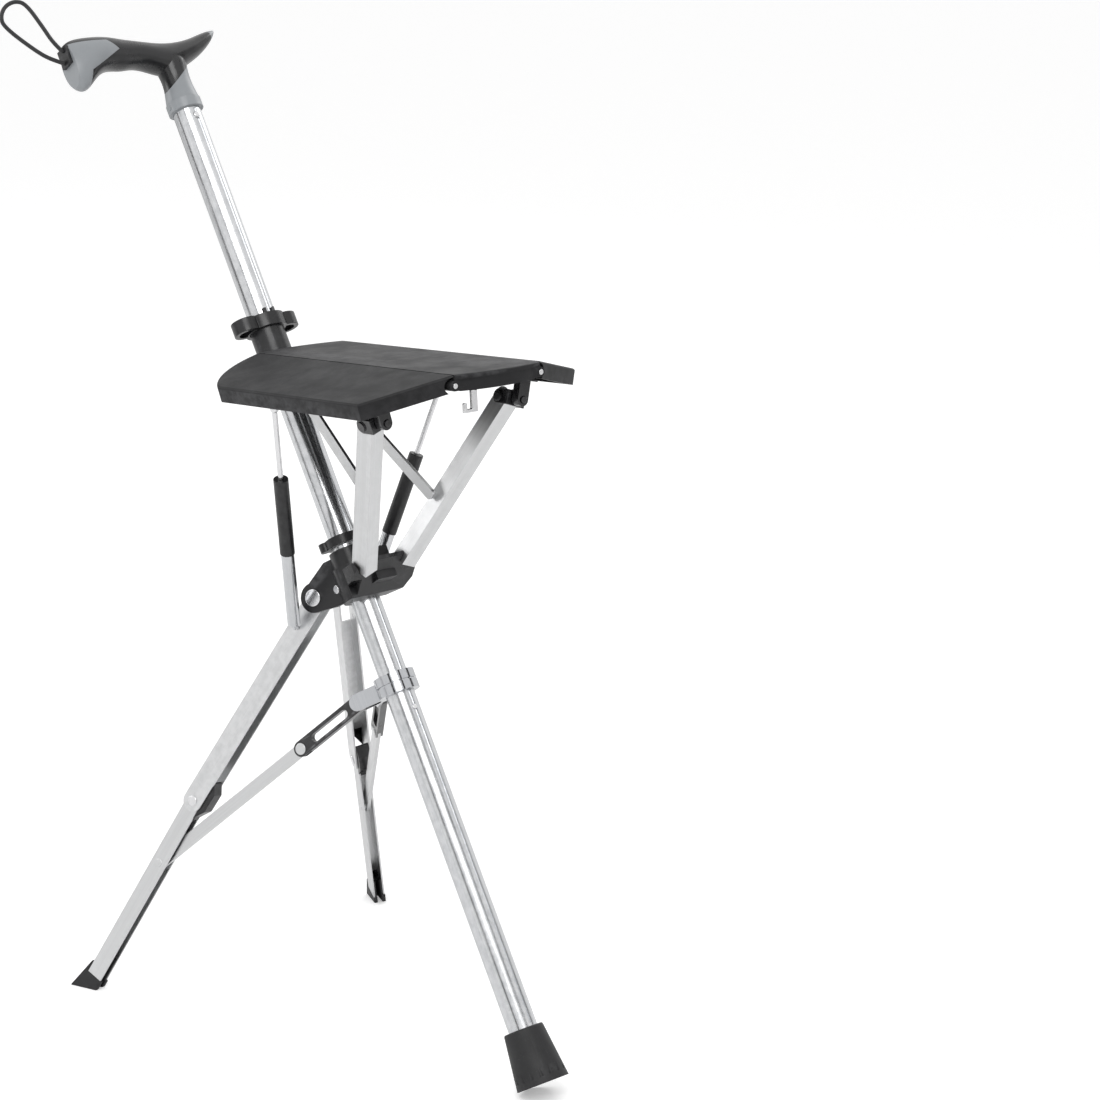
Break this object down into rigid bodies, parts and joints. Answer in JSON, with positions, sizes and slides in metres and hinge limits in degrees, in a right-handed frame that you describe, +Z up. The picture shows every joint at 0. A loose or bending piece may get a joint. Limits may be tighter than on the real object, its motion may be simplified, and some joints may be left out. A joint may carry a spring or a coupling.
{
  "type": "folding walking stick seat",
  "caption": "Walking stick that opens into a seat: a sliding seat with folding side panels, struts and side springs, and folding rear legs, on a tube with a grip handle.",
  "frame": {"origin": "middle of the footprint box on the floor, in the open pose", "axes": "+X towards the seat's front and the main foot, +Y to the sitter's left, +Z up"},
  "size_m": [0.5008, 0.3098, 0.7649],
  "materials": {
    "tube_silver": "anodised, satin",
    "flange_silver": "satin",
    "bright_steel": "plated",
    "ring_chrome": "polished",
    "black_metal": "semi-gloss",
    "seat_plastic": "fine grained",
    "black_plastic": "semi-gloss",
    "handle_grey": "satin",
    "grip_rubber": "soft, slightly glossy",
    "foot_rubber": "matt",
    "strap_cord": "woven"
  },
  "bodies": {
    "frame": {"main_tube": "tube_silver", "main_foot": "foot_rubber", "ring_stop_rivet": "bright_steel", "handle_grip": "grip_rubber", "handle_tail_cap": "handle_grey", "handle_beak_cap": "handle_grey", "handle_neck": "handle_grey", "neck_band": "handle_grey", "stem_tube": "tube_silver", "button_spring": "bright_steel", "strap_clip": "black_plastic", "wrist_strap": "strap_cord"},
    "button": {"snap_button": "bright_steel"},
    "sleeve": {"sleeve": "black_plastic", "wing_knob": "black_plastic", "seat_bracket": "black_metal", "seat_pin": "bright_steel", "link_pin": "bright_steel"},
    "seat": {"centre_panel": "seat_plastic", "front_hook": "bright_steel", "left_hinge_rod": "bright_steel", "right_hinge_rod": "bright_steel"},
    "hub": {"hub": "black_plastic", "hub_bolt": "bright_steel", "left_leg_pin": "bright_steel", "right_leg_pin": "bright_steel"},
    "guide_collar": {"guide_collar": "black_plastic"},
    "ring": {"ring": "ring_chrome"},
    "left_panel": {"left_side_panel": "seat_plastic", "left_strut_bracket": "black_metal", "left_spring_lug": "bright_steel"},
    "left_clevis": {"left_strut_clevis": "black_metal"},
    "left_strut": {"left_strut": "flange_silver"},
    "left_link": {"left_side_link": "flange_silver"},
    "left_upper_leg": {"left_upper_leg": "flange_silver", "left_knee_pin": "bright_steel"},
    "left_lower_leg": {"left_lower_leg": "flange_silver", "left_knee_block": "black_plastic", "left_rear_foot": "foot_rubber"},
    "left_stay": {"left_stay_plate": "black_metal", "left_stay_bar": "flange_silver"},
    "left_spring": {"left_spring_tube": "tube_silver", "left_spring_grip": "grip_rubber"},
    "left_spring_rod": {"left_spring_rod": "bright_steel"},
    "right_panel": {"right_side_panel": "seat_plastic", "right_strut_bracket": "black_metal", "right_spring_lug": "bright_steel"},
    "right_clevis": {"right_strut_clevis": "black_metal"},
    "right_strut": {"right_strut": "flange_silver"},
    "right_link": {"right_side_link": "flange_silver"},
    "right_upper_leg": {"right_upper_leg": "flange_silver", "right_knee_pin": "bright_steel"},
    "right_lower_leg": {"right_lower_leg": "flange_silver", "right_knee_block": "black_plastic", "right_rear_foot": "foot_rubber"},
    "right_stay": {"right_stay_plate": "black_metal", "right_stay_bar": "flange_silver"},
    "right_spring": {"right_spring_tube": "tube_silver", "right_spring_grip": "grip_rubber"},
    "right_spring_rod": {"right_spring_rod": "bright_steel"}
  },
  "joints": [
    {"name": "sleeve_slide", "type": "slide", "parent": "frame", "child": "sleeve", "axis": [-0.5421, 0, 0.8403], "range_m": [0, 0.1728]},
    {"name": "hub_slide", "type": "slide", "parent": "frame", "child": "hub", "axis": [-0.5421, 0, 0.8403], "range_m": [0, 0.124]},
    {"name": "guide_collar_slide", "type": "slide", "parent": "frame", "child": "guide_collar", "axis": [-0.5421, 0, 0.8403], "range_m": [0, 0.124]},
    {"name": "seat_pivot", "type": "hinge", "parent": "sleeve", "child": "seat", "pos_m": [-0.04263, 0, 0.50194], "axis": [0, 1, 0], "range_deg": [0, 62.11]},
    {"name": "ring_slide", "type": "slide", "parent": "frame", "child": "ring", "axis": [-0.5421, 0, 0.8403], "range_m": [0, 0.12275]},
    {"name": "left_panel_pivot", "type": "hinge", "parent": "seat", "child": "left_panel", "pos_m": [-0.05473, 0.039, 0.50606], "axis": [-0.9963, 0, -0.0861], "range_deg": [0, 75.8]},
    {"name": "left_clevis_pivot", "type": "hinge", "parent": "left_panel", "child": "left_clevis", "pos_m": [0.11237, 0.06255, 0.49361], "axis": [0.9963, 0, 0.0861], "range_deg": [0, 89.7]},
    {"name": "left_strut_pivot", "type": "hinge", "parent": "left_clevis", "child": "left_strut", "pos_m": [0.11237, 0.06255, 0.49361], "axis": [0.029, 0.9416, -0.3354], "range_deg": [0, 59.48]},
    {"name": "left_link_pivot", "type": "hinge", "parent": "sleeve", "child": "left_link", "pos_m": [-0.05072, 0.01455, 0.49493], "axis": [-0.174, 0.9773, -0.1211], "range_deg": [0, 22.95]},
    {"name": "left_upper_leg_pivot", "type": "hinge", "parent": "hub", "child": "left_upper_leg", "pos_m": [-0.01872, 0.0105, 0.32635], "axis": [0.3524, 0.9078, 0.2274], "range_deg": [0, 121.61]},
    {"name": "left_lower_leg_pivot", "type": "hinge", "parent": "left_upper_leg", "child": "left_lower_leg", "pos_m": [-0.08977, 0.07994, 0.15924], "axis": [-0.3524, -0.9078, -0.2274], "range_deg": [0, 178.17]},
    {"name": "left_stay_pivot", "type": "hinge", "parent": "ring", "child": "left_stay", "pos_m": [0.02833, 0.01027, 0.25436], "axis": [0.3524, 0.9078, 0.2274], "range_deg": [0, 102.76]},
    {"name": "right_panel_pivot", "type": "hinge", "parent": "seat", "child": "right_panel", "pos_m": [-0.05473, -0.039, 0.50606], "axis": [0.9963, 0, 0.0861], "range_deg": [0, 75.8]},
    {"name": "right_clevis_pivot", "type": "hinge", "parent": "right_panel", "child": "right_clevis", "pos_m": [0.11237, -0.06255, 0.49361], "axis": [-0.9963, 0, -0.0861], "range_deg": [0, 89.7]},
    {"name": "right_strut_pivot", "type": "hinge", "parent": "right_clevis", "child": "right_strut", "pos_m": [0.11237, -0.06255, 0.49361], "axis": [-0.029, 0.9416, 0.3354], "range_deg": [0, 59.48]},
    {"name": "right_link_pivot", "type": "hinge", "parent": "sleeve", "child": "right_link", "pos_m": [-0.05072, -0.01455, 0.49493], "axis": [0.174, 0.9773, 0.1211], "range_deg": [0, 22.95]},
    {"name": "right_upper_leg_pivot", "type": "hinge", "parent": "hub", "child": "right_upper_leg", "pos_m": [-0.01872, -0.0105, 0.32635], "axis": [-0.3524, 0.9078, -0.2274], "range_deg": [0, 121.61]},
    {"name": "right_lower_leg_pivot", "type": "hinge", "parent": "right_upper_leg", "child": "right_lower_leg", "pos_m": [-0.08977, -0.07994, 0.15924], "axis": [0.3524, -0.9078, 0.2274], "range_deg": [0, 178.17]},
    {"name": "right_stay_pivot", "type": "hinge", "parent": "ring", "child": "right_stay", "pos_m": [0.02833, -0.01027, 0.25436], "axis": [-0.3524, 0.9078, -0.2274], "range_deg": [0, 102.76]},
    {"name": "left_spring_pivot", "type": "hinge", "parent": "left_upper_leg", "child": "left_spring", "pos_m": [-0.02671, 0.02627, 0.30373], "axis": [-0.2852, -0.9582, -0.0219], "range_deg": [0, 155.85]},
    {"name": "left_spring_rod_slide", "type": "slide", "parent": "left_spring", "child": "left_spring_rod", "axis": [-0.2219, -0.2382, -0.9455], "range_m": [0, 0.057]},
    {"name": "right_spring_pivot", "type": "hinge", "parent": "right_upper_leg", "child": "right_spring", "pos_m": [-0.02671, -0.02627, 0.30373], "axis": [0.2852, -0.9582, 0.0219], "range_deg": [0, 155.85]},
    {"name": "right_spring_rod_slide", "type": "slide", "parent": "right_spring", "child": "right_spring_rod", "axis": [-0.2219, 0.2382, -0.9455], "range_m": [0, 0.057]},
    {"name": "button_press", "type": "slide", "parent": "frame", "child": "button", "axis": [-0.8403, 0, -0.5421], "range_m": [0, 0.0012], "stiffness_N_per_m": 800, "springref_m": -0.001}
  ],
  "couplings": [
    {"joint": "hub_slide", "follows": "sleeve_slide", "ratio": 0.71759},
    {"joint": "guide_collar_slide", "follows": "sleeve_slide", "ratio": 0.71759},
    {"joint": "seat_pivot", "follows": "sleeve_slide", "rad_per_m": 6.2733},
    {"joint": "ring_slide", "follows": "sleeve_slide", "ratio": 0.71036},
    {"joint": "left_panel_pivot", "follows": "sleeve_slide", "rad_per_m": 7.656},
    {"joint": "left_clevis_pivot", "follows": "sleeve_slide", "rad_per_m": 9.06},
    {"joint": "left_strut_pivot", "follows": "sleeve_slide", "rad_per_m": 6.0074},
    {"joint": "left_link_pivot", "follows": "sleeve_slide", "rad_per_m": 2.3178},
    {"joint": "left_upper_leg_pivot", "follows": "sleeve_slide", "rad_per_m": 12.283},
    {"joint": "left_lower_leg_pivot", "follows": "sleeve_slide", "rad_per_m": 17.996},
    {"joint": "left_stay_pivot", "follows": "sleeve_slide", "rad_per_m": 10.379},
    {"joint": "right_panel_pivot", "follows": "sleeve_slide", "rad_per_m": 7.656},
    {"joint": "right_clevis_pivot", "follows": "sleeve_slide", "rad_per_m": 9.06},
    {"joint": "right_strut_pivot", "follows": "sleeve_slide", "rad_per_m": 6.0074},
    {"joint": "right_link_pivot", "follows": "sleeve_slide", "rad_per_m": 2.3178},
    {"joint": "right_upper_leg_pivot", "follows": "sleeve_slide", "rad_per_m": 12.283},
    {"joint": "right_lower_leg_pivot", "follows": "sleeve_slide", "rad_per_m": 17.996},
    {"joint": "right_stay_pivot", "follows": "sleeve_slide", "rad_per_m": 10.379},
    {"joint": "left_spring_pivot", "follows": "sleeve_slide", "rad_per_m": 15.742},
    {"joint": "left_spring_rod_slide", "follows": "sleeve_slide", "ratio": 0.32986},
    {"joint": "right_spring_pivot", "follows": "sleeve_slide", "rad_per_m": 15.742},
    {"joint": "right_spring_rod_slide", "follows": "sleeve_slide", "ratio": 0.32986}
  ]
}
